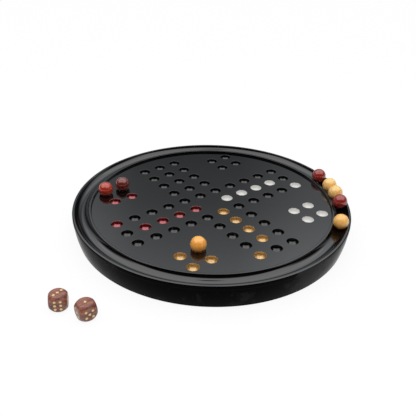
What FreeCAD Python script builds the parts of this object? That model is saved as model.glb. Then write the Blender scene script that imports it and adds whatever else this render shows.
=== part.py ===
import FreeCAD
import Part
import math
import os

# Round ludo board in black lacquer, with a field of dished cups, a ball groove round it,
# stone balls as playing pieces and two rounded dice standing beside it.
# Millimetres, +Z up, origin on the table surface under the board's centre.
# +X runs along the white arm of the cross, +Y along the black arm.

# Playing pieces and their seats
ball_diameter = 16.0
seat_clearance = 0.3        # room between a ball and the lip of its cup or of the groove
ball_sink = 2.45            # how far a seated ball reaches below the field
cup_pitch = 21.2            # spacing of the cups
cup_depth = 5.5             # deeper than the ball reaches, so that it rests on the lip
cup_lip = 0.3               # rounding of a cup's mouth
lining_thickness = 0.2      # coloured enamel coat inside a player's cups

# Rings of the board, from the field outwards
field_margin = 3.9          # plain lacquer outside the corner cups
bead_width = 1.9
bead_round = 0.4
groove_sink = 4.4           # how far a ball in the groove reaches below the top of bead and rim
groove_room = 1.0           # left under it, because it rests on the groove's two edges
groove_lip = 0.5            # rounding of the groove's two edges
rim_width = 2.4
rim_round = 1.6
rim_flat = 0.2              # least flat kept on top of the rim

# Heights of the board
recess_depth = 2.5          # the field lies this far below the bead
field_thickness = 9.0
base_thickness = 16.0

# Outer side of the rim
lip_height = 4.2            # height of the rounded moulding at the top of the side
lip_overhang = 0.6
wall_taper = 3.4            # how far the side leans in from the moulding to the foot
wall_bulge = 0.7            # how far it swells over a straight line
foot_round = 1.6

# Felt pads under the base
pad_diameter = 28.0
pad_thickness = 2.0
pad_proud = 0.6
pad_circle = 95.0           # radius on which the outer pads lie
outer_pads = 4

# Dice: cubes with the corners turned off to a ball
die_size = 17.0
die_face_diameter = 13.3    # the round flat left on each face
pip_diameter = 2.6
pip_depth = 1.2
pip_spread = 3.2            # corner pips, from the middle of the face
six_column = 2.6
six_row = 4.0
die_stand_off = {"die_1": 51.9, "die_2": 44.5}        # from the rim to the die's centre
die_bearing = {"die_1": -169.3, "die_2": -161.1}      # degrees round the board from +X
die_turn = {"die_1": -117.9, "die_2": -92.6}          # degrees, heading of the die's first face
die_faces = {
    "die_1": {"+x": 6, "-x": 1, "+y": 5, "-y": 2, "+z": 3, "-z": 4},
    "die_2": {"+x": 5, "-x": 2, "+y": 4, "-y": 3, "+z": 1, "-z": 6},
}

# Layout of the cups, in pitches from the centre
arm_half_width = 1
arm_length = 5
home_columns = (3, 4)
arm_axes = {"white": (1, 0), "black": (0, 1), "red": (-1, 0), "gold": (0, -1)}
home_quadrants = {"black": (1, 1), "white": (1, -1), "gold": (-1, -1), "red": (-1, 1)}
lined_players = ("red", "gold", "white")

# Where the balls lie: two kinds of seat, the home cups and the groove
balls_in_homes = {"red_ball_1": (-4, 4), "red_ball_2": (-3, 4), "gold_ball_1": (-3, -3)}
groove_row = ("red_ball_3", "gold_ball_2", "gold_ball_3", "red_ball_4", "gold_ball_4")
groove_row_bearing = -11.4               # degrees, the rearmost ball of the row
groove_row_gaps = (8.6, 2.0, 4.2, 26.8)  # free distance between neighbours in the row

# Sizes that follow from the ones above
ball_radius = ball_diameter / 2
ball_rise = ball_radius - ball_sink     # a seated ball's centre above the field
groove_ball_rise = ball_radius - groove_sink
groove_depth = groove_sink + groove_room


def seat_mouth(rise, lip):
    # Half the width of a hollow on whose rounded lip a ball rests, with its centre this far above
    return math.sqrt((ball_radius + seat_clearance + lip) ** 2 - (rise + lip) ** 2)


def bowl_size(mouth, depth, lip):
    # Radius of a bowl of this depth that runs smoothly into the rounded lip of its mouth
    return (mouth ** 2 + depth ** 2 - 2 * lip * depth) / (2 * depth)


def lip_offset(bowl_radius, rise, lip):
    # Where a rounded lip meets the flat, from the middle of the bowl or groove that it edges
    return math.sqrt((bowl_radius + lip) ** 2 - (rise + lip) ** 2)


cup_mouth = seat_mouth(ball_rise, cup_lip)
cup_radius = bowl_size(cup_mouth, cup_depth, cup_lip)
cup_rise = cup_radius - cup_depth       # the bowl's centre above the field
pocket_radius = cup_radius + lining_thickness
groove_half_width = seat_mouth(groove_ball_rise, groove_lip)
groove_bowl = bowl_size(groove_half_width, groove_depth, groove_lip)
groove_bowl_rise = groove_bowl - groove_depth

corner_cup_radius = math.hypot(home_columns[-1], home_columns[-1]) * cup_pitch
field_radius = corner_cup_radius + lip_offset(pocket_radius, cup_rise, cup_lip) + field_margin
bead_radius = field_radius + bead_width
groove_radius = bead_radius + groove_half_width
groove_edge = groove_radius + groove_half_width
rim_radius = groove_edge + rim_width
wall_top_radius = rim_radius - lip_overhang
foot_radius = wall_top_radius - wall_taper

underside = pad_proud
field_seat = underside + base_thickness
field_top = field_seat + field_thickness
board_top = field_top + recess_depth
groove_floor = board_top - groove_depth


def point(radius, height):
    return FreeCAD.Vector(radius, 0, height)


def line(start, end):
    return Part.LineSegment(start, end).toShape()


def arc(start, middle, end):
    return Part.Arc(start, middle, end).toShape()


def corner_arc(centre_radius, centre_height, size, start_angle, end_angle):
    angles = (start_angle, (start_angle + end_angle) / 2, end_angle)
    spots = [point(centre_radius + size * math.cos(math.radians(a)),
                   centre_height + size * math.sin(math.radians(a))) for a in angles]
    return arc(*spots)


def turned(edges):
    # A closed section in the XZ plane, turned a full circle about the board's axis
    wire = Part.Wire(Part.__sortEdges__(edges))
    return Part.Face(wire).revolve(FreeCAD.Vector(0, 0, 0), FreeCAD.Vector(0, 0, 1), 360)


def bowl_arc(middle, side, bowl_radius, height, start_angle, end_angle):
    # An arc of a bowl's or groove's section, by angles from straight down
    angles = (start_angle, (start_angle + end_angle) / 2, end_angle)
    spots = [point(middle + side * bowl_radius * math.sin(a),
                   height - bowl_radius * math.cos(a)) for a in angles]
    return arc(*spots)


def lip_arc(middle, side, offset, lip, top, angle):
    # The rounded edge that runs from the bowl up to the flat
    turns = (angle, angle / 2, 0)
    spots = [point(middle + side * (offset - lip * math.sin(a)),
                   top - lip + lip * math.cos(a)) for a in turns]
    return arc(*spots)


def dished_section(middle, side, bowl_radius, rise, lip, top):
    # One half of a ball-nosed hollow below a flat: the bowl and its lip
    offset = lip_offset(bowl_radius, rise, lip)
    angle = math.atan2(offset, rise + lip)
    return [bowl_arc(middle, side, bowl_radius, top + rise, 0, angle),
            lip_arc(middle, side, offset, lip, top, angle)]


def cup_cells():
    # Every cup of the cross and of the four homes, as grid coordinates
    cells = set()
    for along in range(-arm_length, arm_length + 1):
        for across in range(-arm_half_width, arm_half_width + 1):
            cells.add((along, across))
            cells.add((across, along))
    cells.discard((0, 0))
    for sign_x, sign_y in home_quadrants.values():
        for column in home_columns:
            for row in home_columns:
                cells.add((sign_x * column, sign_y * row))
    return sorted(cells)


def player_cells(player):
    # The cups of one player: four homes, the goal row up the arm, and the start cup
    sign_x, sign_y = home_quadrants[player]
    ax, ay = arm_axes[player]
    side_x, side_y = ay, -ax
    homes = [(sign_x * column, sign_y * row) for column in home_columns for row in home_columns]
    goals = [(ax * step, ay * step) for step in range(1, arm_length)]
    start = [(ax * arm_length + side_x * arm_half_width, ay * arm_length + side_y * arm_half_width)]
    return {"home_cups": homes, "goal_cups": goals, "start_cup": start}


def at_cell(shape, cell):
    moved = shape.copy()
    moved.translate(FreeCAD.Vector(cell[0] * cup_pitch, cell[1] * cup_pitch, 0))
    return moved


def cup_cutter(bowl_radius):
    # A ball-nosed cut with a rounded mouth, standing a little out of the field
    mouth = lip_offset(bowl_radius, cup_rise, cup_lip)
    bottom = point(0, field_top + cup_rise - bowl_radius)
    return turned(dished_section(0, 1, bowl_radius, cup_rise, cup_lip, field_top) + [
        line(point(mouth, field_top), point(mouth, board_top)),
        line(point(mouth, board_top), point(0, board_top)),
        line(point(0, board_top), bottom),
    ])


def cup_lining():
    # A thin dish that coats a pocket up to the start of its rounded lip
    centre_height = field_top + cup_rise
    mouth = lip_offset(pocket_radius, cup_rise, cup_lip)
    outer_angle = math.atan2(mouth, cup_rise + cup_lip)
    brim_drop = pocket_radius * math.cos(outer_angle)
    inner_angle = math.acos(brim_drop / cup_radius)
    brim_height = centre_height - brim_drop
    return turned([
        bowl_arc(0, 1, pocket_radius, centre_height, 0, outer_angle),
        line(point(pocket_radius * math.sin(outer_angle), brim_height),
             point(cup_radius * math.sin(inner_angle), brim_height)),
        bowl_arc(0, 1, cup_radius, centre_height, 0, inner_angle),
        line(point(0, centre_height - cup_radius), point(0, centre_height - pocket_radius)),
    ])


def playing_field():
    disc = Part.makeCylinder(field_radius, field_thickness, FreeCAD.Vector(0, 0, field_seat))
    lined = set()
    for player in lined_players:
        for cells in player_cells(player).values():
            lined.update(cells)
    cutters = []
    for cell in cup_cells():
        cutters.append(at_cell(cup_cutter(pocket_radius if cell in lined else cup_radius), cell))
    return disc.cut(Part.makeCompound(cutters))


def groove_flank(side):
    # Half of the groove's section, from its floor to the bead (side -1) or the rim (side 1)
    return dished_section(groove_radius, side, groove_bowl, groove_bowl_rise, groove_lip, board_top)


def bead_ring():
    top_start = field_radius + bead_round
    return turned([
        line(point(field_radius, field_seat), point(field_radius, board_top - bead_round)),
        corner_arc(top_start, board_top - bead_round, bead_round, 180, 90),
        line(point(top_start, board_top), point(bead_radius, board_top)),
    ] + groove_flank(-1) + [
        line(point(groove_radius, groove_floor), point(groove_radius, field_seat)),
        line(point(groove_radius, field_seat), point(field_radius, field_seat)),
    ])


def rim_ring():
    crown_round = min(rim_round, rim_width - rim_flat)
    crown = rim_radius - crown_round
    lip_foot = board_top - lip_height
    wall_top = lip_foot - lip_overhang
    wall_foot = underside + foot_round
    middle = point((wall_top_radius + foot_radius) / 2 + wall_bulge, (wall_top + wall_foot) / 2)
    return turned([
        line(point(groove_radius, underside), point(groove_radius, groove_floor)),
    ] + groove_flank(1) + [
        line(point(groove_edge, board_top), point(crown, board_top)),
        corner_arc(crown, board_top - crown_round, crown_round, 90, 0),
        line(point(rim_radius, board_top - crown_round), point(rim_radius, lip_foot)),
        corner_arc(wall_top_radius, lip_foot, lip_overhang, 0, -90),
        arc(point(wall_top_radius, wall_top), middle, point(foot_radius, wall_foot)),
        corner_arc(foot_radius - foot_round, wall_foot, foot_round, 0, -90),
        line(point(foot_radius - foot_round, underside), point(groove_radius, underside)),
    ])


def pad_spots():
    # One pad in the middle, the others half a step round from the arms of the cross
    spots = [FreeCAD.Vector(0, 0, 0)]
    for number in range(outer_pads):
        angle = math.radians(360 / outer_pads * (number + 0.5))
        spots.append(FreeCAD.Vector(pad_circle * math.cos(angle), pad_circle * math.sin(angle), 0))
    return spots


def felt_pads():
    pads = [Part.makeCylinder(pad_diameter / 2, pad_thickness, spot) for spot in pad_spots()]
    return Part.makeCompound(pads)


def base_plate():
    disc = Part.makeCylinder(groove_radius, base_thickness, FreeCAD.Vector(0, 0, underside))
    return disc.cut(felt_pads())


def groove_bearings():
    bearings = [groove_row_bearing]
    for gap in groove_row_gaps:
        step = 2 * math.asin((ball_diameter + gap) / 2 / groove_radius)
        bearings.append(bearings[-1] - math.degrees(step))
    return bearings


def ball_centres():
    centres = {}
    for name, cell in balls_in_homes.items():
        centres[name] = FreeCAD.Vector(cell[0] * cup_pitch, cell[1] * cup_pitch, field_top + ball_rise)
    for name, bearing in zip(groove_row, groove_bearings()):
        angle = math.radians(bearing)
        centres[name] = FreeCAD.Vector(groove_radius * math.cos(angle), groove_radius * math.sin(angle),
                                       board_top + groove_ball_rise)
    return centres


def pip_spots(count):
    corners = [(pip_spread, -pip_spread), (-pip_spread, pip_spread)]
    others = [(pip_spread, pip_spread), (-pip_spread, -pip_spread)]
    if count == 6:
        return [(u, v) for u in (-six_column, six_column) for v in (-six_row, 0, six_row)]
    spots = [(0, 0)] if count % 2 else []
    if count > 1:
        spots += corners
    if count > 3:
        spots += others
    return spots


def die_blank():
    half = die_size / 2
    cube = Part.makeBox(die_size, die_size, die_size, FreeCAD.Vector(-half, -half, -half))
    return cube.common(Part.makeSphere(math.hypot(half, die_face_diameter / 2)))


def die_pips(faces):
    # Pegs set flush into each face: u runs across the face, v up it
    directions = {
        "+x": ((1, 0, 0), (0, 1, 0), (0, 0, 1)), "-x": ((-1, 0, 0), (0, -1, 0), (0, 0, 1)),
        "+y": ((0, 1, 0), (-1, 0, 0), (0, 0, 1)), "-y": ((0, -1, 0), (1, 0, 0), (0, 0, 1)),
        "+z": ((0, 0, 1), (1, 0, 0), (0, 1, 0)), "-z": ((0, 0, -1), (1, 0, 0), (0, -1, 0)),
    }
    pegs = []
    for face, count in faces.items():
        normal, across, up = [FreeCAD.Vector(*d) for d in directions[face]]
        for u, v in pip_spots(count):
            start = normal * (die_size / 2 - pip_depth) + across * u + up * v
            pegs.append(Part.makeCylinder(pip_diameter / 2, pip_depth, start, normal))
    return Part.makeCompound(pegs).common(die_blank())


def stand_die(shape, name):
    distance = rim_radius + die_stand_off[name]
    bearing = math.radians(die_bearing[name])
    moved = shape.copy()
    moved.rotate(FreeCAD.Vector(0, 0, 0), FreeCAD.Vector(0, 0, 1), die_turn[name])
    moved.translate(FreeCAD.Vector(distance * math.cos(bearing), distance * math.sin(bearing), die_size / 2))
    return moved


nodes = {
    "playing_field": playing_field(),
    "bead_ring": bead_ring(),
    "rim_ring": rim_ring(),
    "base_plate": base_plate(),
    "felt_pads": felt_pads(),
}
lining = cup_lining()
for player in lined_players:
    for group, cells in player_cells(player).items():
        nodes[player + "_" + group] = Part.makeCompound([at_cell(lining, cell) for cell in cells])
for name, centre in ball_centres().items():
    nodes[name] = Part.makeSphere(ball_radius, centre)
for name, faces in die_faces.items():
    pips = die_pips(faces)
    nodes[name] = stand_die(die_blank().cut(pips), name)
    nodes[name + "_pips"] = stand_die(pips, name)

os.makedirs("parts", exist_ok=True)
for name, shape in nodes.items():
    shape.exportStep("parts/" + name + ".step")
    print(name, "solids", len(shape.Solids), "volume", round(shape.Volume, 1), "valid", shape.isValid())
print("board across", round(2 * rim_radius, 2), "field radius", round(field_radius, 2),
      "bead", round(bead_radius, 2), "groove", round(groove_radius, 2), "edge", round(groove_edge, 2),
      "top", round(board_top, 2), "field", round(field_top, 2))
print("groove balls at", [round(b, 2) for b in groove_bearings()],
      "ball height", round(board_top + groove_ball_rise, 2), "seated", round(field_top + ball_rise, 2),
      "cup mouth", round(cup_mouth, 2), "cup radius", round(cup_radius, 2))
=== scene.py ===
import bpy
import bmesh
import math
from mathutils import Matrix, Vector, noise
from mathutils.geometry import delaunay_2d_cdt


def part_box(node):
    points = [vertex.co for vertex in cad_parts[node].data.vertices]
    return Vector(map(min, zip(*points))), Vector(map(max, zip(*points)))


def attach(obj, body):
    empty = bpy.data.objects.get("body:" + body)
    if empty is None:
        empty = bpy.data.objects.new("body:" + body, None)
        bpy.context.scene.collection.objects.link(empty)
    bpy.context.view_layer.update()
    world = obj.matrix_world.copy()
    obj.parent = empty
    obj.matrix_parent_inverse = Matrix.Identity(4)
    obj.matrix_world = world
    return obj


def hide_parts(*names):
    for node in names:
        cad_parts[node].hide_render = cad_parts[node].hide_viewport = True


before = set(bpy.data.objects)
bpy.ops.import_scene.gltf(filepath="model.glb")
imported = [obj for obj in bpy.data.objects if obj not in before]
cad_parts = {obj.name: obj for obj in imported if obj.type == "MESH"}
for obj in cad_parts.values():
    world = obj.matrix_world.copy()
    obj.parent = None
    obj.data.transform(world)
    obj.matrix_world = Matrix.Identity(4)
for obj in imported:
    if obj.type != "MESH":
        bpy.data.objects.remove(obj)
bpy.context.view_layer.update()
mm = 0.001
print("frame loaded,", len(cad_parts), "nodes")


def linearColour(hexText):
    channels = [int(hexText[start:start + 2], 16) / 255 for start in (1, 3, 5)]
    linear = [c / 12.92 if c <= 0.04045 else ((c + 0.055) / 1.055) ** 2.4 for c in channels]
    return (*linear, 1.0)


def perMm(sizeMm):
    return 1000 / sizeMm  # texture scale that gives one feature in this many millimetres


def addNode(tree, kind, settings, inputs):
    node = tree.nodes.new(kind)
    for name, value in settings.items():
        if name != "stops":
            setattr(node, name, value)
            continue
        ramp = node.color_ramp.elements
        while len(ramp) < len(value):
            ramp.new(1.0)
        for element, (place, colour) in zip(ramp, value):
            element.position = place
            element.color = colour
    for socket, value in inputs.items():
        if isinstance(value, bpy.types.NodeSocket):
            tree.links.new(value, node.inputs[socket])
        else:
            node.inputs[socket].default_value = value
    return node


def newMaterial(name):
    material = bpy.data.materials.new(name)
    material.use_nodes = True
    material.node_tree.nodes.clear()
    return material, material.node_tree


def finishMaterial(tree, shader):
    addNode(tree, "ShaderNodeOutputMaterial", {}, {"Surface": shader.outputs[0]})


# Materials

lacquer = {
    "dust": "#2c2b2a", "ior": 1.6, "hazeMm": 46.0, "smudgeMm": 17.0, "dustMm": 5.0,
    "speck": (0.05, 0.08), "smudged": (0.38, 0.72), "peelMm": 2.4, "peelHeightMm": 0.004,
    "grainMm": 1.1, "grainHeightMm": 0.003, "grainStretch": 0.05,
}
lacquerCoats = {
    "top": {"name": "polishedBlackLacquer", "black": "#030303", "hazeAndReflection": "#09090a",
            "hazeFrom": (0.0, 1.0), "roughness": (0.04, 0.09), "specular": 0.7},
    # the side copy is painted shade: blacker and with almost no mirror, so the wall's reflection goes dark;
    # its pale haze is partly painted reflection
    "side": {"name": "satinBlackLacquer", "black": "#010101", "hazeAndReflection": "#2c2c2c",
             "hazeFrom": (0.5, 0.62), "roughness": (0.16, 0.3), "specular": 0.018},
}


def blackLacquer(coat):
    # Sprayed black lacquer: a deep black, polished to a clear mirror on top and left satin on the
    # leaning side, with a breath of haze where hands have wiped it, a few specks of dust, and the
    # slight ripple of spray over the grain of the wood. The side's copy is painted shade: blacker and
    # with almost no mirror, it darkens the wall's reflection, and its pale haze patches on the side
    # are partly painted reflection
    material, tree = newMaterial(coat["name"])
    place = addNode(tree, "ShaderNodeTexCoord", {}, {}).outputs["Object"]
    hazeAndReflection = addNode(tree, "ShaderNodeTexNoise", {}, {
        "Vector": place, "Scale": perMm(lacquer["hazeMm"]), "Detail": 5.0, "Roughness": 0.6})
    hazeStart, hazeFull = coat["hazeFrom"]
    # on the side coat the pale haze patches are partly painted reflection: wiping haze that also stands in
    # for smudges mirrored in the wall
    wipedAndReflected = addNode(tree, "ShaderNodeMapRange", {}, {
        "Value": hazeAndReflection.outputs[0], "From Min": hazeStart, "From Max": hazeFull})
    smudge = addNode(tree, "ShaderNodeTexNoise", {}, {
        "Vector": place, "Scale": perMm(lacquer["smudgeMm"]), "Detail": 6.0, "Roughness": 0.65,
        "Distortion": 0.6})
    dust = addNode(tree, "ShaderNodeTexVoronoi", {}, {
        "Vector": place, "Scale": perMm(lacquer["dustMm"]), "Randomness": 1.0})
    speckFull, speckEnd = lacquer["speck"]
    speck = addNode(tree, "ShaderNodeMapRange", {}, {
        "Value": dust.outputs["Distance"], "From Min": speckFull, "From Max": speckEnd,
        "To Min": 1.0, "To Max": 0.0})
    colour = addNode(tree, "ShaderNodeMix", {"data_type": "RGBA"}, {
        0: wipedAndReflected.outputs[0], 6: linearColour(coat["black"]), 7: linearColour(coat["hazeAndReflection"])})
    dusted = addNode(tree, "ShaderNodeMix", {"data_type": "RGBA"}, {
        0: speck.outputs[0], 6: colour.outputs[2], 7: linearColour(lacquer["dust"])})
    low, high = coat["roughness"]
    smudgeStart, smudgeFull = lacquer["smudged"]
    roughness = addNode(tree, "ShaderNodeMapRange", {}, {
        "Value": smudge.outputs[0], "From Min": smudgeStart, "From Max": smudgeFull,
        "To Min": low, "To Max": high})
    peel = addNode(tree, "ShaderNodeTexNoise", {}, {
        "Vector": place, "Scale": perMm(lacquer["peelMm"]), "Detail": 1.0})
    stretched = addNode(tree, "ShaderNodeMapping", {}, {
        "Vector": place, "Scale": (lacquer["grainStretch"], 1.0, 1.0)})
    grain = addNode(tree, "ShaderNodeTexNoise", {}, {
        "Vector": stretched.outputs[0], "Scale": perMm(lacquer["grainMm"]), "Detail": 2.0})
    ripple = addNode(tree, "ShaderNodeBump", {}, {
        "Height": peel.outputs[0], "Strength": 1.0, "Distance": lacquer["peelHeightMm"] * mm})
    surface = addNode(tree, "ShaderNodeBump", {}, {
        "Height": grain.outputs[0], "Strength": 1.0, "Distance": lacquer["grainHeightMm"] * mm,
        "Normal": ripple.outputs[0]})
    shader = addNode(tree, "ShaderNodeBsdfPrincipled", {}, {
        "Base Color": dusted.outputs[2], "Roughness": roughness.outputs[0], "IOR": lacquer["ior"],
        "Specular IOR Level": coat["specular"], "Normal": surface.outputs[0]})
    finishMaterial(tree, shader)
    return material


enamels = {
    "red": {"name": "redMetallicEnamel", "light": "#a3373b", "dark": "#8d2b2f", "roughness": 0.3,
            "metallic": 1.0, "coat": 1.0},
    "gold": {"name": "goldEnamel", "light": "#e2ba74", "dark": "#c69a54", "roughness": 0.44,
             "metallic": 1.0, "coat": 1.0},
    "white": {"name": "pearlEnamel", "light": "#dad9d6", "dark": "#cccbc7", "roughness": 0.3,
              "metallic": 0.0, "coat": 0.0},
}
enamelBrush = {
    "flowMm": 3.2, "fleckMm": 0.55, "fleckShare": 0.25, "fleckSize": 0.8, "roughnessSpread": (0.7, 1.4),
    "peelMm": 1.3, "peelHeightMm": 0.012, "coatRoughness": 0.06, "coatIor": 1.8,
}


def cupEnamel(look):
    # Enamel dropped into the cup and left to level: glossy, a little thicker and darker where it
    # pooled, with fine flecks of pigment or metal powder that break the highlight up
    material, tree = newMaterial(look["name"])
    place = addNode(tree, "ShaderNodeTexCoord", {}, {}).outputs["Object"]
    flow = addNode(tree, "ShaderNodeTexNoise", {}, {
        "Vector": place, "Scale": perMm(enamelBrush["flowMm"]), "Detail": 4.0, "Distortion": 0.8})
    fleck = addNode(tree, "ShaderNodeTexVoronoi", {}, {
        "Vector": place, "Scale": perMm(enamelBrush["fleckMm"])})
    pooled = addNode(tree, "ShaderNodeMix", {"data_type": "RGBA"}, {
        0: flow.outputs[0], 6: linearColour(look["dark"]), 7: linearColour(look["light"])})
    flecked = addNode(tree, "ShaderNodeMix", {"data_type": "RGBA", "blend_type": "SOFT_LIGHT"}, {
        0: enamelBrush["fleckShare"], 6: pooled.outputs[2], 7: fleck.outputs["Color"]})
    low, high = (look["roughness"] * share for share in enamelBrush["roughnessSpread"])
    roughness = addNode(tree, "ShaderNodeMapRange", {}, {
        "Value": fleck.outputs["Distance"], "From Min": 0.0, "From Max": enamelBrush["fleckSize"],
        "To Min": low, "To Max": high})
    peel = addNode(tree, "ShaderNodeTexNoise", {}, {
        "Vector": place, "Scale": perMm(enamelBrush["peelMm"]), "Detail": 2.0})
    surface = addNode(tree, "ShaderNodeBump", {}, {
        "Height": peel.outputs[0], "Strength": 1.0, "Distance": enamelBrush["peelHeightMm"] * mm})
    shader = addNode(tree, "ShaderNodeBsdfPrincipled", {}, {
        "Base Color": flecked.outputs[2], "Metallic": look["metallic"], "Roughness": roughness.outputs[0],
        "Coat Weight": look["coat"], "Coat Roughness": enamelBrush["coatRoughness"],
        "Coat IOR": enamelBrush["coatIor"], "Normal": surface.outputs[0]})
    finishMaterial(tree, shader)
    return material


opaqueStone = {"veined": 0.5, "cloudMm": 4.5, "veinMm": 2.8, "depth": 0.12, "glowMm": 0.8}
jade = {"veined": 0.3, "cloudMm": 7.0, "veinMm": 4.5, "depth": 1.0, "glowMm": 4.0}
stones = {
    "carnelian": {"name": "redCarnelian", "body": "#a82c1a", "cloud": "#bd3c26", "vein": "#742018",
                  "roughness": 0.13, "veined": 0.5, "cloudMm": 5.5, "veinMm": 3.4, "depth": 0.2,
                  "glowMm": 1.2},
    "jasper": {"name": "redJasper", "body": "#8a2118", "cloud": "#9c2c22", "vein": "#58120e",
               "roughness": 0.1, **opaqueStone},
    "brownJasper": {"name": "brownJasper", "body": "#642018", "cloud": "#742a20", "vein": "#3e120d",
                    "roughness": 0.12, **opaqueStone},
    "honey": {"name": "honeyJade", "body": "#ffad48", "cloud": "#ffb454", "vein": "#ffa33c",
              "roughness": 0.24, **jade},
    "cream": {"name": "creamJade", "body": "#ffbb60", "cloud": "#ffc370", "vein": "#ffaf4e",
              "roughness": 0.24, **jade},
    "pale": {"name": "paleJade", "body": "#ffc676", "cloud": "#ffcf89", "vein": "#ffba60",
             "roughness": 0.26, **jade},
}
stonePolish = {
    "ior": 1.54, "specular": 0.9, "veinFrom": (0.56, 0.72), "cloudFrom": (0.3, 0.7),
    "roughnessSpread": (0.8, 1.3),
}


def polishedStone(look):
    # Tumbled and polished stone: clouded colour a little way under a clean gloss, darker veins,
    # and light that runs some millimetres into the ball before it comes back
    material, tree = newMaterial(look["name"])
    place = addNode(tree, "ShaderNodeTexCoord", {}, {}).outputs["Object"]
    which = addNode(tree, "ShaderNodeObjectInfo", {}, {}).outputs["Object Index"]
    cloud = addNode(tree, "ShaderNodeTexNoise", {"noise_dimensions": "4D"}, {
        "Vector": place, "W": which, "Scale": perMm(look["cloudMm"]), "Detail": 4.0, "Roughness": 0.5,
        "Distortion": 0.6})
    vein = addNode(tree, "ShaderNodeTexNoise", {"noise_dimensions": "4D"}, {
        "Vector": place, "W": which, "Scale": perMm(look["veinMm"]), "Detail": 3.0, "Distortion": 1.2})
    veinStart, veinFull = stonePolish["veinFrom"]
    veinMask = addNode(tree, "ShaderNodeMapRange", {}, {
        "Value": vein.outputs[0], "From Min": veinStart, "From Max": veinFull,
        "To Min": 0.0, "To Max": look["veined"]})
    clouded = addNode(tree, "ShaderNodeMix", {"data_type": "RGBA"}, {
        0: cloud.outputs[0], 6: linearColour(look["body"]), 7: linearColour(look["cloud"])})
    veined = addNode(tree, "ShaderNodeMix", {"data_type": "RGBA"}, {
        0: veinMask.outputs[0], 6: clouded.outputs[2], 7: linearColour(look["vein"])})
    cloudStart, cloudFull = stonePolish["cloudFrom"]
    low, high = (look["roughness"] * share for share in stonePolish["roughnessSpread"])
    roughness = addNode(tree, "ShaderNodeMapRange", {}, {
        "Value": cloud.outputs[0], "From Min": cloudStart, "From Max": cloudFull,
        "To Min": low, "To Max": high})
    shader = addNode(tree, "ShaderNodeBsdfPrincipled", {"subsurface_method": "RANDOM_WALK"}, {
        "Base Color": veined.outputs[2], "Roughness": roughness.outputs[0], "IOR": stonePolish["ior"],
        "Specular IOR Level": stonePolish["specular"], "Subsurface Weight": look["depth"],
        "Subsurface Scale": mm, "Subsurface Radius": (look["glowMm"],) * 3})
    finishMaterial(tree, shader)
    return material


rosewoodLook = {
    "heart": "#7d4536", "pale": "#a86e58", "streak": "#3f1d16",
    "bands": (0.30, 0.46, 0.66), "bandMm": 2.6, "bandStretch": 0.16, "grainTurn": (0.3, 0.25, 0.2),
    "poreMm": 0.5, "poreStretch": 0.12, "poreFrom": (0.6, 0.7), "poreDark": 0.6, "poreDepthMm": 0.03,
    "roughness": (0.3, 0.4), "roughFrom": (0.3, 0.7), "specular": 0.7, "ior": 1.5,
}


def rosewood():
    # Rosewood, cut across and tumbled smooth with oil: red-brown bands, dark streaks and short
    # open pores along the grain, under a low polish
    material, tree = newMaterial("oiledRosewood")
    place = addNode(tree, "ShaderNodeTexCoord", {}, {}).outputs["Object"]
    along = addNode(tree, "ShaderNodeMapping", {}, {
        "Vector": place, "Rotation": rosewoodLook["grainTurn"],
        "Scale": (rosewoodLook["bandStretch"], 1.0, 1.0)})
    band = addNode(tree, "ShaderNodeTexNoise", {}, {
        "Vector": along.outputs[0], "Scale": perMm(rosewoodLook["bandMm"]), "Detail": 5.0,
        "Roughness": 0.65, "Distortion": 0.5})
    woods = [linearColour(rosewoodLook[wood]) for wood in ("streak", "heart", "pale")]
    bandColour = addNode(tree, "ShaderNodeValToRGB", {
        "stops": list(zip(rosewoodLook["bands"], woods))}, {"Fac": band.outputs[0]})
    poreAlong = addNode(tree, "ShaderNodeMapping", {}, {
        "Vector": place, "Rotation": rosewoodLook["grainTurn"],
        "Scale": (rosewoodLook["poreStretch"], 1.0, 1.0)})
    pore = addNode(tree, "ShaderNodeTexNoise", {}, {
        "Vector": poreAlong.outputs[0], "Scale": perMm(rosewoodLook["poreMm"]), "Detail": 1.0})
    poreStart, poreFull = rosewoodLook["poreFrom"]
    poreMask = addNode(tree, "ShaderNodeMapRange", {}, {
        "Value": pore.outputs[0], "From Min": poreStart, "From Max": poreFull,
        "To Min": 0.0, "To Max": rosewoodLook["poreDark"]})
    colour = addNode(tree, "ShaderNodeMix", {"data_type": "RGBA"}, {
        0: poreMask.outputs[0], 6: bandColour.outputs[0], 7: linearColour(rosewoodLook["streak"])})
    low, high = rosewoodLook["roughness"]
    roughStart, roughFull = rosewoodLook["roughFrom"]
    roughness = addNode(tree, "ShaderNodeMapRange", {}, {
        "Value": band.outputs[0], "From Min": roughStart, "From Max": roughFull,
        "To Min": low, "To Max": high})
    surface = addNode(tree, "ShaderNodeBump", {"invert": True}, {
        "Height": poreMask.outputs[0], "Strength": 1.0, "Distance": rosewoodLook["poreDepthMm"] * mm})
    shader = addNode(tree, "ShaderNodeBsdfPrincipled", {}, {
        "Base Color": colour.outputs[2], "Roughness": roughness.outputs[0], "IOR": rosewoodLook["ior"],
        "Specular IOR Level": rosewoodLook["specular"], "Normal": surface.outputs[0]})
    finishMaterial(tree, shader)
    return material


brassLook = {
    "shade": "#d8b070", "shine": "#f6deac", "markMm": 0.2, "markStretch": 0.1, "markHeightMm": 0.004,
    "metallic": 0.55, "roughness": 0.42,
}


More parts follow.
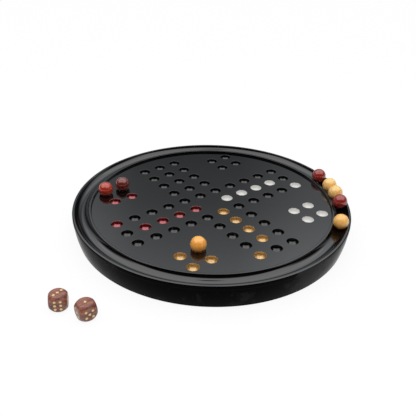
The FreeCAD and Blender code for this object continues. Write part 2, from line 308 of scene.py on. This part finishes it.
def filedBrass():
    # Brass pegs driven in and filed flush: pale satin yellow with fine file marks one way
    material, tree = newMaterial("filedBrass")
    place = addNode(tree, "ShaderNodeTexCoord", {}, {}).outputs["Object"]
    filed = addNode(tree, "ShaderNodeMapping", {}, {
        "Vector": place, "Scale": (1.0, brassLook["markStretch"], 1.0)})
    marks = addNode(tree, "ShaderNodeTexNoise", {}, {
        "Vector": filed.outputs[0], "Scale": perMm(brassLook["markMm"]), "Detail": 2.0})
    colour = addNode(tree, "ShaderNodeMix", {"data_type": "RGBA"}, {
        0: marks.outputs[0], 6: linearColour(brassLook["shade"]), 7: linearColour(brassLook["shine"])})
    surface = addNode(tree, "ShaderNodeBump", {}, {
        "Height": marks.outputs[0], "Strength": 1.0, "Distance": brassLook["markHeightMm"] * mm})
    shader = addNode(tree, "ShaderNodeBsdfPrincipled", {}, {
        "Base Color": colour.outputs[2], "Metallic": brassLook["metallic"],
        "Roughness": brassLook["roughness"], "Normal": surface.outputs[0]})
    finishMaterial(tree, shader)
    return material


feltLook = {
    "dark": "#17171a", "light": "#45454a", "fibreMm": 0.6, "fibreHeightMm": 0.25, "roughness": 0.95,
    "sheen": 0.3,
}


def pressedFelt():
    # Pressed wool felt: dark, matt and full of short crossed fibres
    material, tree = newMaterial("pressedFelt")
    place = addNode(tree, "ShaderNodeTexCoord", {}, {}).outputs["Object"]
    fibre = addNode(tree, "ShaderNodeTexNoise", {}, {
        "Vector": place, "Scale": perMm(feltLook["fibreMm"]), "Detail": 6.0, "Distortion": 2.5})
    colour = addNode(tree, "ShaderNodeMix", {"data_type": "RGBA"}, {
        0: fibre.outputs[0], 6: linearColour(feltLook["dark"]), 7: linearColour(feltLook["light"])})
    surface = addNode(tree, "ShaderNodeBump", {}, {
        "Height": fibre.outputs[0], "Strength": 1.0, "Distance": feltLook["fibreHeightMm"] * mm})
    shader = addNode(tree, "ShaderNodeBsdfPrincipled", {}, {
        "Base Color": colour.outputs[2], "Roughness": feltLook["roughness"],
        "Sheen Weight": feltLook["sheen"], "Normal": surface.outputs[0]})
    finishMaterial(tree, shader)
    return material


finishes = {"black_lacquer": blackLacquer(lacquerCoats["top"]), "felt": pressedFelt(),
            "rosewood": rosewood(), "pip_brass": filedBrass()}
# the shaded copy of the lacquer for the leaning side: painted shade in place of the wall's reflection
shadedSideLacquer = blackLacquer(lacquerCoats["side"])
for player, look in enamels.items():
    finishes[player + "_enamel"] = cupEnamel(look)
stoneFinishes = {key: polishedStone(look) for key, look in stones.items()}
print("materials made,", len([*finishes, shadedSideLacquer, *stoneFinishes]))


# Mesh helpers

onAxisMm = 1e-6  # a point this close to the line it turns about is one corner, not a ring


def arcPoints(centreR, centreZ, radius, startDeg, endDeg, steps):
    points = []
    for step in range(steps + 1):
        angle = math.radians(startDeg + (endDeg - startDeg) * step / steps)
        points.append((centreR + radius * math.cos(angle), centreZ + radius * math.sin(angle)))
    return points


def turn(shape, profile, segments, closed, centre=(0, 0)):
    # Turns a section of (radius, height) points in mm about the vertical line through centre
    rings = []
    for radius, height in profile:
        if radius < onAxisMm:
            rings.append([shape.verts.new((centre[0] * mm, centre[1] * mm, height * mm))])
            continue
        ring = []
        for number in range(segments):
            angle = 2 * math.pi * number / segments
            ring.append(shape.verts.new(((centre[0] + radius * math.cos(angle)) * mm,
                                         (centre[1] + radius * math.sin(angle)) * mm, height * mm)))
        rings.append(ring)
    pairs = list(zip(rings, rings[1:] + rings[:1])) if closed else list(zip(rings, rings[1:]))
    for first, second in pairs:
        for number in range(segments):
            following = (number + 1) % segments
            corners = [first[number % len(first)], first[following % len(first)],
                       second[following % len(second)], second[number % len(second)]]
            face = [v for place, v in enumerate(corners) if v not in corners[:place]]
            if len(face) > 2:
                shape.faces.new(face)
    return rings


def makePiece(name, shape, materials, sharpDeg=32, centre=(0, 0, 0)):
    # A piece of its own, smooth but for edges sharper than sharpDeg, in the finishes of its slot
    bmesh.ops.recalc_face_normals(shape, faces=shape.faces[:])
    mesh = bpy.data.meshes.new(name)
    shape.to_mesh(mesh)
    shape.free()
    mesh.shade_smooth()
    mesh.set_sharp_from_angle(angle=math.radians(sharpDeg))
    for material in materials:
        mesh.materials.append(material)
    piece = bpy.data.objects.new(name, mesh)
    piece.location = centre
    bpy.context.scene.collection.objects.link(piece)
    return piece


# Board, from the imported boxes: radii and heights in mm

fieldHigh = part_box("playing_field")[1] / mm
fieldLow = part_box("playing_field")[0] / mm
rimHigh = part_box("rim_ring")[1] / mm
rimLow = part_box("rim_ring")[0] / mm
fieldRadius = fieldHigh.x
fieldTop = fieldHigh.z
fieldSeat = fieldLow.z
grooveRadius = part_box("bead_ring")[1].x / mm
rimRadius = rimHigh.x
boardTop = rimHigh.z
underside = rimLow.z

seats = {"ball": 16.0, "clearance": 0.3, "cupSink": 2.45, "grooveSink": 4.4, "grooveRoom": 1.0}
cups = {
    "pitch": 21.2, "depth": 5.5, "lip": 0.3, "liningMm": 0.2, "armLength": 5, "homes": (3, 4),
    "segments": 48, "lipSteps": 6, "bowlSteps": 12, "holdMm": 0.12, "coatGapMm": 0.01, "brimTurn": 0.01,
}
field = {"edgeRound": 0.35, "edgeSteps": 5, "sameSpotM": 1e-7}
groove = {"lip": 0.5, "lipSteps": 6, "steps": 36, "segments": 288}
bead = {"width": 1.9, "round": 0.4, "steps": 8}
rim = {"crownRound": 1.6, "lipHeight": 4.2, "lipOverhang": 0.6, "taper": 3.4, "bulge": 0.7,
       "footRound": 1.6, "steps": 10, "lipSteps": 5, "wallSteps": 14, "footSteps": 6}


def bowlSize(sink, depth, lip):
    # Radius of the hollow on whose rounded lip a ball rests, sunk this far into it
    rise = seats["ball"] / 2 - sink
    mouth = math.sqrt((seats["ball"] / 2 + seats["clearance"] + lip) ** 2 - (rise + lip) ** 2)
    return (mouth ** 2 + depth ** 2 - 2 * lip * depth) / (2 * depth)


cupRadius = bowlSize(seats["cupSink"], cups["depth"], cups["lip"])
cupRise = cupRadius - cups["depth"]
grooveDepth = seats["grooveSink"] + seats["grooveRoom"]
grooveBowl = bowlSize(seats["grooveSink"], grooveDepth, groove["lip"])
armAxes = {"white": (1, 0), "black": (0, 1), "red": (-1, 0), "gold": (0, -1)}
homeQuarters = {"black": (1, 1), "white": (1, -1), "gold": (-1, -1), "red": (-1, 1)}


def lipOffset(bowlRadius, rise, lip):
    return math.sqrt((bowlRadius + lip) ** 2 - (rise + lip) ** 2)


def dishProfile(bowlRadius, rise, lip, top, lipSteps, bowlSteps):
    # From the flat, over the rounded lip and down the bowl to its lowest point
    offset = lipOffset(bowlRadius, rise, lip)
    tiltDeg = math.degrees(math.atan2(offset, rise + lip))
    points = arcPoints(offset, top - lip, lip, 90, 90 + tiltDeg, lipSteps)
    points += arcPoints(0, top + rise, bowlRadius, tiltDeg - 90, -90, bowlSteps)[1:]
    return points


def playerCells(player):
    signX, signY = homeQuarters[player]
    ax, ay = armAxes[player]
    homes = [(signX * column, signY * row) for column in cups["homes"] for row in cups["homes"]]
    goals = [(ax * step, ay * step) for step in range(1, cups["armLength"])]
    start = [(ax * cups["armLength"] + ay, ay * cups["armLength"] - ax)]
    return {"home_cups": homes, "goal_cups": goals, "start_cup": start}


def allCells():
    cells = set()
    for along in range(-cups["armLength"], cups["armLength"] + 1):
        for across in (-1, 0, 1):
            cells.update({(along, across), (across, along)})
    cells.discard((0, 0))
    for player in homeQuarters:
        cells.update(playerCells(player)["home_cups"])
    return sorted(cells)


def fieldDisc():
    lined = set()
    for player in enamels:
        for cells in playerCells(player).values():
            lined.update(cells)
    shape = bmesh.new()
    edgeRound = field["edgeRound"]
    edge = [(fieldRadius - edgeRound - cups["holdMm"], fieldTop)]
    edge += arcPoints(fieldRadius - edgeRound, fieldTop - edgeRound, edgeRound, 90, 0, field["edgeSteps"])
    edge += [(fieldRadius, fieldSeat), (0, fieldSeat)]
    loops = [turn(shape, edge, groove["segments"], False)[0]]
    for cell in allCells():
        radius = cupRadius + (cups["liningMm"] if cell in lined else 0)
        profile = dishProfile(radius, cupRise, cups["lip"], fieldTop, cups["lipSteps"], cups["bowlSteps"])
        profile = [(profile[0][0] + cups["holdMm"], fieldTop)] + profile
        profile[-1] = (0, profile[-1][1])
        centre = (cell[0] * cups["pitch"], cell[1] * cups["pitch"])
        loops.append(turn(shape, profile, cups["segments"], False, centre)[0])
    corners = []
    loopOf = []
    edges = []
    for number, loop in enumerate(loops):
        first = len(corners)
        edges += [(first + n, first + (n + 1) % len(loop)) for n in range(len(loop))]
        corners += loop
        loopOf += [number] * len(loop)
    triangles = delaunay_2d_cdt([v.co.xy for v in corners], edges, [], 1, field["sameSpotM"])[2]
    for triangle in triangles:
        around = {loopOf[n] for n in triangle}
        # A triangle with all its corners on one cup would close that cup
        if around == {0} or len(around) > 1:
            shape.faces.new([corners[n] for n in triangle])
    return makePiece("fieldDisc", shape, [finishes["black_lacquer"]])


def grooveFlank(side):
    # The groove's section from its edge down to its floor
    half = dishProfile(grooveBowl, grooveBowl - grooveDepth, groove["lip"], boardTop,
                       groove["lipSteps"], groove["steps"])
    return [(grooveRadius + side * r, z) for r, z in half]


def beadHoop():
    hold = cups["holdMm"]
    top = fieldRadius + bead["round"]
    profile = [(fieldRadius, fieldSeat), (fieldRadius, boardTop - bead["round"] - hold)]
    profile += arcPoints(top, boardTop - bead["round"], bead["round"], 180, 90, bead["steps"])
    profile += [(top + hold, boardTop), (fieldRadius + bead["width"] - hold, boardTop)]
    profile += grooveFlank(-1)
    profile += [(grooveRadius, fieldSeat)]
    shape = bmesh.new()
    turn(shape, profile, groove["segments"], True)
    return makePiece("beadHoop", shape, [finishes["black_lacquer"]])


def rimHoop():
    hold = cups["holdMm"]
    crown = rimRadius - rim["crownRound"]
    lipFoot = boardTop - rim["lipHeight"]
    wallTopR = rimRadius - rim["lipOverhang"]
    wallTopZ = lipFoot - rim["lipOverhang"]
    footR = wallTopR - rim["taper"]
    footZ = underside + rim["footRound"]
    flank = grooveFlank(1)
    profile = [(grooveRadius, underside)] + flank[::-1]
    profile += [(flank[0][0] + hold, boardTop), (crown - hold, boardTop)]
    shadedSatinFrom = len(profile) + rim["steps"] // 2  # the polish ends halfway round the crown
    profile += arcPoints(crown, boardTop - rim["crownRound"], rim["crownRound"], 90, 0, rim["steps"])
    profile += [(rimRadius, boardTop - rim["crownRound"] - hold), (rimRadius, lipFoot + hold)]
    profile += arcPoints(wallTopR, lipFoot, rim["lipOverhang"], 0, -90, rim["lipSteps"])
    for step in range(1, rim["wallSteps"] + 1):
        share = step / rim["wallSteps"]
        swell = rim["bulge"] * 4 * share * (1 - share)
        leaning = wallTopR + (footR - wallTopR) * share
        profile.append((leaning + swell, wallTopZ + (footZ - wallTopZ) * share))
    profile += arcPoints(footR - rim["footRound"], footZ, rim["footRound"], 0, -90, rim["footSteps"])[1:]
    shape = bmesh.new()
    turn(shape, profile, groove["segments"], True)
    # faces past halfway round the crown take the shaded side copy of the lacquer (painted shade)
    for number, face in enumerate(shape.faces):
        face.material_index = 1 if number // groove["segments"] >= shadedSatinFrom else 0
    return makePiece("rimHoop", shape, [finishes["black_lacquer"], shadedSideLacquer])


for piece, node in ((fieldDisc(), "playing_field"), (beadHoop(), "bead_ring"), (rimHoop(), "rim_ring")):
    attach(piece, "board")
    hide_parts(node)
for node, slot in (("base_plate", "black_lacquer"), ("felt_pads", "felt")):
    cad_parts[node].data.materials.clear()
    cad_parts[node].data.materials.append(finishes[slot])
print("board made")


def liningDish(shape, cell):
    # A closed dish of enamel, from the cup's wall inwards, with a low ridge round its brim
    outer = cupRadius + cups["liningMm"] - cups["coatGapMm"]
    inner = cupRadius
    centreZ = fieldTop + cupRise
    tiltDeg = math.degrees(math.atan2(lipOffset(outer, cupRise, cups["lip"]), cupRise + cups["lip"]))
    profile = arcPoints(0, centreZ, outer, -90, tiltDeg - 90, cups["bowlSteps"])
    brim = math.radians(tiltDeg) + cups["brimTurn"]
    middle = (outer + inner) / 2
    profile.append((middle * math.sin(brim), centreZ - middle * math.cos(brim)))
    profile += arcPoints(0, centreZ, inner, tiltDeg - 90, -90, cups["bowlSteps"])
    profile[0] = (0, profile[0][1])
    profile[-1] = (0, profile[-1][1])
    turn(shape, profile, cups["segments"], False, (cell[0] * cups["pitch"], cell[1] * cups["pitch"]))


for player in enamels:
    for group, cells in playerCells(player).items():
        shape = bmesh.new()
        for cell in cells:
            liningDish(shape, cell)
        slot = player + "_enamel"
        node = player + "_" + group
        coat = makePiece(player + group.title().replace("_", ""), shape, [finishes[slot]])
        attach(coat, "board")
        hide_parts(node)
print("cup enamel made")


# Stone balls

balls = {
    "red_ball_1": "carnelian", "red_ball_2": "brownJasper", "red_ball_3": "jasper",
    "red_ball_4": "jasper", "gold_ball_1": "honey", "gold_ball_2": "pale", "gold_ball_3": "pale",
    "gold_ball_4": "cream",
}
ballGrinding = {"lumpMm": 7.0, "lumpShift": 7.3, "outOfRoundMm": 0.02, "subdivisions": 5, "sharpDeg": 60}

for number, (node, stone) in enumerate(balls.items()):
    low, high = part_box(node)
    radius = (high.x - low.x) / 2
    shape = bmesh.new()
    bmesh.ops.create_icosphere(shape, subdivisions=ballGrinding["subdivisions"], radius=radius)
    for vert in shape.verts:
        shifted = Vector((number * ballGrinding["lumpShift"], 0, 0))
        lump = noise.noise(vert.co / (ballGrinding["lumpMm"] * mm) + shifted)
        vert.co *= 1 - ballGrinding["outOfRoundMm"] * mm / radius * (0.5 + 0.5 * lump)
    ball = makePiece(stone + node.title().replace("_", ""), shape, [stoneFinishes[stone]],
                     ballGrinding["sharpDeg"], (low + high) / 2)
    ball.pass_index = number
    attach(ball, node)
    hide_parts(node)
print("balls made")


# Dice

dice = {
    "die_1": {"turnDeg": -117.9, "faces": {"+x": 6, "-x": 1, "+y": 5, "-y": 2, "+z": 3, "-z": 4}},
    "die_2": {"turnDeg": -92.6, "faces": {"+x": 5, "-x": 2, "+y": 4, "-y": 3, "+z": 1, "-z": 6}},
}
dieShape = {"size": 17.0, "faceDiameter": 13.3, "edgeSoftMm": 0.7, "grid": 44, "weldMm": 0.001,
            "sharpDeg": 60}
pip = {"diameter": 2.6, "depth": 1.2, "proud": 0.04, "edgeRound": 0.18, "edgeSteps": 4, "holdMm": 0.1,
       "spread": 3.2, "column": 2.6, "row": 4.0, "segments": 24, "sharpDeg": 40}
faceAxes = {
    "+x": ((1, 0, 0), (0, 1, 0), (0, 0, 1)), "-x": ((-1, 0, 0), (0, -1, 0), (0, 0, 1)),
    "+y": ((0, 1, 0), (-1, 0, 0), (0, 0, 1)), "-y": ((0, -1, 0), (1, 0, 0), (0, 0, 1)),
    "+z": ((0, 0, 1), (1, 0, 0), (0, 1, 0)), "-z": ((0, 0, -1), (1, 0, 0), (0, -1, 0)),
}


def dieReach(direction):
    # Distance from the middle to the surface: cube and ball, blended where they cross
    half = dieShape["size"] / 2
    ballRadius = math.hypot(half, dieShape["faceDiameter"] / 2)
    toCube = half / max(abs(part) for part in direction)
    soft = dieShape["edgeSoftMm"]
    gap = max(soft - abs(toCube - ballRadius), 0) / soft
    return min(toCube, ballRadius) - gap * gap * soft / 4


def dieBlank():
    shape = bmesh.new()
    grid = dieShape["grid"]
    for normal, across, up in faceAxes.values():
        rows = []
        for row in range(grid + 1):
            line = []
            for column in range(grid + 1):
                u = math.tan(math.pi / 4 * (2 * column / grid - 1))
                v = math.tan(math.pi / 4 * (2 * row / grid - 1))
                direction = (Vector(normal) + Vector(across) * u + Vector(up) * v).normalized()
                line.append(shape.verts.new(direction * dieReach(direction) * mm))
            rows.append(line)
        for low, high in zip(rows, rows[1:]):
            for n in range(grid):
                shape.faces.new((low[n], low[n + 1], high[n + 1], high[n]))
    bmesh.ops.remove_doubles(shape, verts=shape.verts[:], dist=dieShape["weldMm"] * mm)
    return shape


def pipSpots(count):
    s = pip["spread"]
    if count == 6:
        return [(u, v) for u in (-pip["column"], pip["column"]) for v in (-pip["row"], 0, pip["row"])]
    spots = [(0, 0)] if count % 2 else []
    spots += [(s, -s), (-s, s)] if count > 1 else []
    spots += [(s, s), (-s, -s)] if count > 3 else []
    return spots


def pipPegs(faces):
    shape = bmesh.new()
    radius = pip["diameter"] / 2
    top = dieShape["size"] / 2 + pip["proud"]
    rounding = pip["edgeRound"]
    profile = [(0, top), (radius - rounding - pip["holdMm"], top)]
    profile += arcPoints(radius - rounding, top - rounding, rounding, 90, 0, pip["edgeSteps"])
    profile += [(radius, top - pip["depth"]), (0, top - pip["depth"])]
    for face, count in faces.items():
        normal, across, up = [Vector(axis) for axis in faceAxes[face]]
        stand = Matrix((across, up, normal)).transposed().to_4x4()
        for spot in pipSpots(count):
            before = set(shape.verts)
            turn(shape, profile, pip["segments"], False, spot)
            bmesh.ops.transform(shape, matrix=stand, verts=[v for v in shape.verts if v not in before])
    return shape


for node, look in dice.items():
    low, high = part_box(node)
    centre = (low + high) / 2
    turned = Matrix.Rotation(math.radians(look["turnDeg"]), 4, "Z")
    blank, pegShape = dieBlank(), pipPegs(look["faces"])
    for shape in (blank, pegShape):
        bmesh.ops.transform(shape, matrix=turned, verts=shape.verts[:])
    wood = makePiece(node + "Wood", blank, [finishes["rosewood"]], dieShape["sharpDeg"], centre)
    pegs = makePiece(node + "Pips", pegShape, [finishes["pip_brass"]], pip["sharpDeg"], centre)
    for piece, replaced in ((wood, node), (pegs, node + "_pips")):
        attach(piece, node)
        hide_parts(replaced)
print("dice made")


# Floor, light and camera

view = {
    "azimuthDeg": -37.06, "elevationDeg": 30.45, "rollDeg": 1.3, "distanceMm": 636.3,
    "targetMm": (-9.54, -6.03, 25.6), "focalPx": 587.5, "photoPx": 416, "sensorMm": 36.0, "nearM": 0.01,
}
azimuth = math.radians(view["azimuthDeg"])
towardsCamera = Vector((math.sin(azimuth), -math.cos(azimuth), 0))
rightOfCamera = Vector((math.cos(azimuth), math.sin(azimuth), 0))

floorLook = {"white": "#f4f4f4", "bounce": "#b0b0b0", "lift": 0.9, "acrossM": 40.0, "belowMm": 0.02}


def paleFloor():
    # Matt white table: the lift brings it to white for the eye and in mirrors, the shadow stays, and
    # what it throws back on the pieces is that of a grey card
    material, tree = newMaterial("paleSweep")
    path = addNode(tree, "ShaderNodeLightPath", {}, {})
    seen = addNode(tree, "ShaderNodeMath", {"operation": "MAXIMUM"}, {
        0: path.outputs["Is Camera Ray"], 1: path.outputs["Is Glossy Ray"]})
    seenAtAll = addNode(tree, "ShaderNodeMath", {"operation": "MAXIMUM"}, {
        0: seen.outputs[0], 1: path.outputs["Is Transmission Ray"]})
    colour = addNode(tree, "ShaderNodeMix", {"data_type": "RGBA"}, {
        0: seenAtAll.outputs[0], 6: linearColour(floorLook["bounce"]), 7: linearColour(floorLook["white"])})
    matt = addNode(tree, "ShaderNodeBsdfDiffuse", {}, {"Color": colour.outputs[2]})
    white = addNode(tree, "ShaderNodeEmission", {}, {"Color": (1, 1, 1, 1), "Strength": 1.0})
    share = addNode(tree, "ShaderNodeMath", {"operation": "MULTIPLY"}, {
        0: seenAtAll.outputs[0], 1: floorLook["lift"]})
    shader = addNode(tree, "ShaderNodeMixShader", {}, {
        0: share.outputs[0], 1: matt.outputs[0], 2: white.outputs[0]})
    finishMaterial(tree, shader)
    shape = bmesh.new()
    bmesh.ops.create_grid(shape, x_segments=1, y_segments=1, size=floorLook["acrossM"] / 2)
    mesh = bpy.data.meshes.new("floor")
    shape.to_mesh(mesh)
    shape.free()
    mesh.materials.append(material)
    floor = bpy.data.objects.new("floor", mesh)
    floor.location.z = -floorLook["belowMm"] * mm
    bpy.context.scene.collection.objects.link(floor)


studio = {
    "peak": 1.66,
    # brightness over the arc from the camera's horizon (0) by the zenith (90) to the far one (180)
    "arc": [(0, 0.002), (40, 0.003), (50, 0.01), (60, 0.9), (66, 1.0), (126, 1.0), (134, 0.55),
            (140, 0.22), (146, 0.05), (150, 0.0), (180, 0.0)],
    # and to the left and right of that arc
    "sides": [(0, 1.0), (45, 1.0), (52, 0.5), (60, 0.06), (68, 0.008), (90, 0.004)],
    "openingDeg": 85, "openingSize": (3.0, 8.0), "openingGlow": 0.02,
    # the paler strip under the box, dimmer in the middle than to the left and right
    "strip": [(0, 0.0), (130, 0.0), (137, 0.2), (143, 0.3), (146, 0.24), (150, 0.16), (155, 0.088),
              (161, 0.012), (170, 0.003), (180, 0.002)],
    "stripSides": [(-40, 0.5), (-16, 1.0), (-12, 0.95), (-7, 0.56), (-3, 0.5), (3, 0.54), (9, 0.9),
                   (13, 1.0), (40, 0.5)],
    "stripTint": (0.95, 1.0, 1.05, 1.0), "stripGain": 2.12,
    "paleHorizonDeg": (3.0, 5.0),
}


def greyStops(levels, spanDeg, startDeg=0):
    # Ramp stops for levels of grey at these angles, over a span that starts at startDeg
    return [((deg - startDeg) / spanDeg, (level, level, level, 1)) for deg, level in levels]


def softBoxStrength(tree, way, arcShare, sideAngle):
    # The box fades towards its edges and darkens in the small round opening near its top
    arcGlow = addNode(tree, "ShaderNodeValToRGB", {"stops": greyStops(studio["arc"], 180)}, {
        "Fac": arcShare})
    sideSize = addNode(tree, "ShaderNodeMath", {"operation": "ABSOLUTE"}, {0: sideAngle})
    sideShare = addNode(tree, "ShaderNodeMath", {"operation": "DIVIDE"}, {
        0: sideSize.outputs[0], 1: math.pi / 2})
    sideGlow = addNode(tree, "ShaderNodeValToRGB", {"stops": greyStops(studio["sides"], 90)}, {
        "Fac": sideShare.outputs[0]})
    openingAngle = math.radians(studio["openingDeg"])
    openingWay = towardsCamera * math.cos(openingAngle) + Vector((0, 0, math.sin(openingAngle)))
    openingDot = addNode(tree, "ShaderNodeVectorMath", {"operation": "DOT_PRODUCT"}, {0: way, 1: openingWay})
    openingOff = addNode(tree, "ShaderNodeMath", {"operation": "ARCCOSINE"}, {0: openingDot.outputs["Value"]})
    inner, outer = (math.radians(size) for size in studio["openingSize"])
    openingGlow = addNode(tree, "ShaderNodeMapRange", {"interpolation_type": "SMOOTHSTEP"}, {
        "Value": openingOff.outputs[0], "From Min": inner, "From Max": outer,
        "To Min": studio["openingGlow"], "To Max": 1.0})
    strength = arcGlow.outputs[0]
    for factor in (sideGlow.outputs[0], openingGlow.outputs[0], studio["peak"]):
        product = addNode(tree, "ShaderNodeMath", {"operation": "MULTIPLY"}, {0: strength, 1: factor})
        strength = product.outputs[0]
    return strength


def stripStrength(tree, arcShare, sideAngle):
    # The strip under the box, shaped from top to bottom and from left to right
    upGlow = addNode(tree, "ShaderNodeValToRGB", {"stops": greyStops(studio["strip"], 180)}, {
        "Fac": arcShare})
    turnShare = addNode(tree, "ShaderNodeMapRange", {}, {
        "Value": sideAngle, "From Min": -math.pi / 2, "From Max": math.pi / 2})
    acrossGlow = addNode(tree, "ShaderNodeValToRGB", {
        "stops": greyStops(studio["stripSides"], 180, -90)}, {"Fac": turnShare.outputs[0]})
    shaped = addNode(tree, "ShaderNodeMath", {"operation": "MULTIPLY"}, {
        0: upGlow.outputs[0], 1: acrossGlow.outputs[0]})
    strength = addNode(tree, "ShaderNodeMath", {"operation": "MULTIPLY"}, {
        0: shaped.outputs[0], 1: studio["peak"] * studio["stripGain"]})
    return strength.outputs[0]


def whiteShare(tree, height):
    # Plain white stands behind everything for the eye, and low over the horizon in mirrors
    path = addNode(tree, "ShaderNodeLightPath", {}, {})
    mirror = addNode(tree, "ShaderNodeMath", {"operation": "MAXIMUM"}, {
        0: path.outputs["Is Glossy Ray"], 1: path.outputs["Is Transmission Ray"]})
    horizonFoot, horizonTop = (math.sin(math.radians(deg)) for deg in studio["paleHorizonDeg"])
    horizon = addNode(tree, "ShaderNodeMapRange", {}, {
        "Value": height, "From Min": horizonFoot, "From Max": horizonTop, "To Min": 1.0, "To Max": 0.0})
    mirrored = addNode(tree, "ShaderNodeMath", {"operation": "MULTIPLY"}, {
        0: mirror.outputs[0], 1: horizon.outputs[0]})
    share = addNode(tree, "ShaderNodeMath", {"operation": "MAXIMUM"}, {
        0: path.outputs["Is Camera Ray"], 1: mirrored.outputs[0]})
    return share.outputs[0]


def studioLight():
    # A broad soft box overhead and behind, dark on the camera's side, with a paler strip under it
    world = bpy.data.worlds.new("softBox")
    bpy.context.scene.world = world
    world.use_nodes = True
    tree = world.node_tree
    tree.nodes.clear()
    way = addNode(tree, "ShaderNodeTexCoord", {}, {}).outputs["Generated"]
    near = addNode(tree, "ShaderNodeVectorMath", {"operation": "DOT_PRODUCT"}, {0: way, 1: towardsCamera})
    side = addNode(tree, "ShaderNodeVectorMath", {"operation": "DOT_PRODUCT"}, {0: way, 1: rightOfCamera})
    height = addNode(tree, "ShaderNodeSeparateXYZ", {}, {0: way}).outputs["Z"]
    arc = addNode(tree, "ShaderNodeMath", {"operation": "ARCTAN2"}, {0: height, 1: near.outputs["Value"]})
    arcShare = addNode(tree, "ShaderNodeMath", {"operation": "DIVIDE"}, {0: arc.outputs[0], 1: math.pi})
    sideAngle = addNode(tree, "ShaderNodeMath", {"operation": "ARCSINE"}, {0: side.outputs["Value"]})
    angles = (arcShare.outputs[0], sideAngle.outputs[0])
    softBox = addNode(tree, "ShaderNodeBackground", {}, {
        "Color": (1, 1, 1, 1), "Strength": softBoxStrength(tree, way, *angles)})
    strip = addNode(tree, "ShaderNodeBackground", {}, {
        "Color": studio["stripTint"], "Strength": stripStrength(tree, *angles)})
    light = addNode(tree, "ShaderNodeAddShader", {}, {0: softBox.outputs[0], 1: strip.outputs[0]})
    white = addNode(tree, "ShaderNodeBackground", {}, {"Color": (1, 1, 1, 1), "Strength": 1.0})
    mixed = addNode(tree, "ShaderNodeMixShader", {}, {
        0: whiteShare(tree, height), 1: light.outputs[0], 2: white.outputs[0]})
    addNode(tree, "ShaderNodeOutputWorld", {}, {"Surface": mixed.outputs[0]})


fill = {"watts": 8.0, "sizeM": 1.2, "distanceM": 1.6, "elevationDeg": 50}


def frontFill():
    # A weak broad lamp from the camera's side, which opens the shadows and leaves the mirror alone
    lamp = bpy.data.lights.new("frontFill", "AREA")
    lamp.energy = fill["watts"]
    lamp.size = fill["sizeM"]
    holder = bpy.data.objects.new("frontFill", lamp)
    angle = math.radians(fill["elevationDeg"])
    way = towardsCamera * math.cos(angle) + Vector((0, 0, math.sin(angle)))
    holder.location = way * fill["distanceM"]
    holder.rotation_euler = way.to_track_quat("Z", "Y").to_euler()
    holder.visible_glossy = False
    bpy.context.scene.collection.objects.link(holder)


def photoCamera():
    angle, roll = math.radians(view["elevationDeg"]), math.radians(view["rollDeg"])
    back = towardsCamera * math.cos(angle) + Vector((0, 0, math.sin(angle)))
    right = (-back).cross(Vector((0, 0, 1))).normalized()
    up = right.cross(-back)
    rolledRight = right * math.cos(roll) + up * math.sin(roll)
    rolledUp = up * math.cos(roll) - right * math.sin(roll)
    lens = bpy.data.cameras.new("photoCamera")
    lens.sensor_width = view["sensorMm"]
    lens.lens = view["focalPx"] / view["photoPx"] * view["sensorMm"]
    lens.clip_start = view["nearM"]
    holder = bpy.data.objects.new("photoCamera", lens)
    place = Matrix((rolledRight, rolledUp, back)).transposed().to_4x4()
    place.translation = Vector(view["targetMm"]) * mm + back * view["distanceMm"] * mm
    holder.matrix_world = place
    bpy.context.scene.collection.objects.link(holder)
    bpy.context.scene.camera = holder


paleFloor()
studioLight()
frontFill()
photoCamera()
bpy.context.scene.view_settings.view_transform = "Standard"
print("floor, light and camera set")
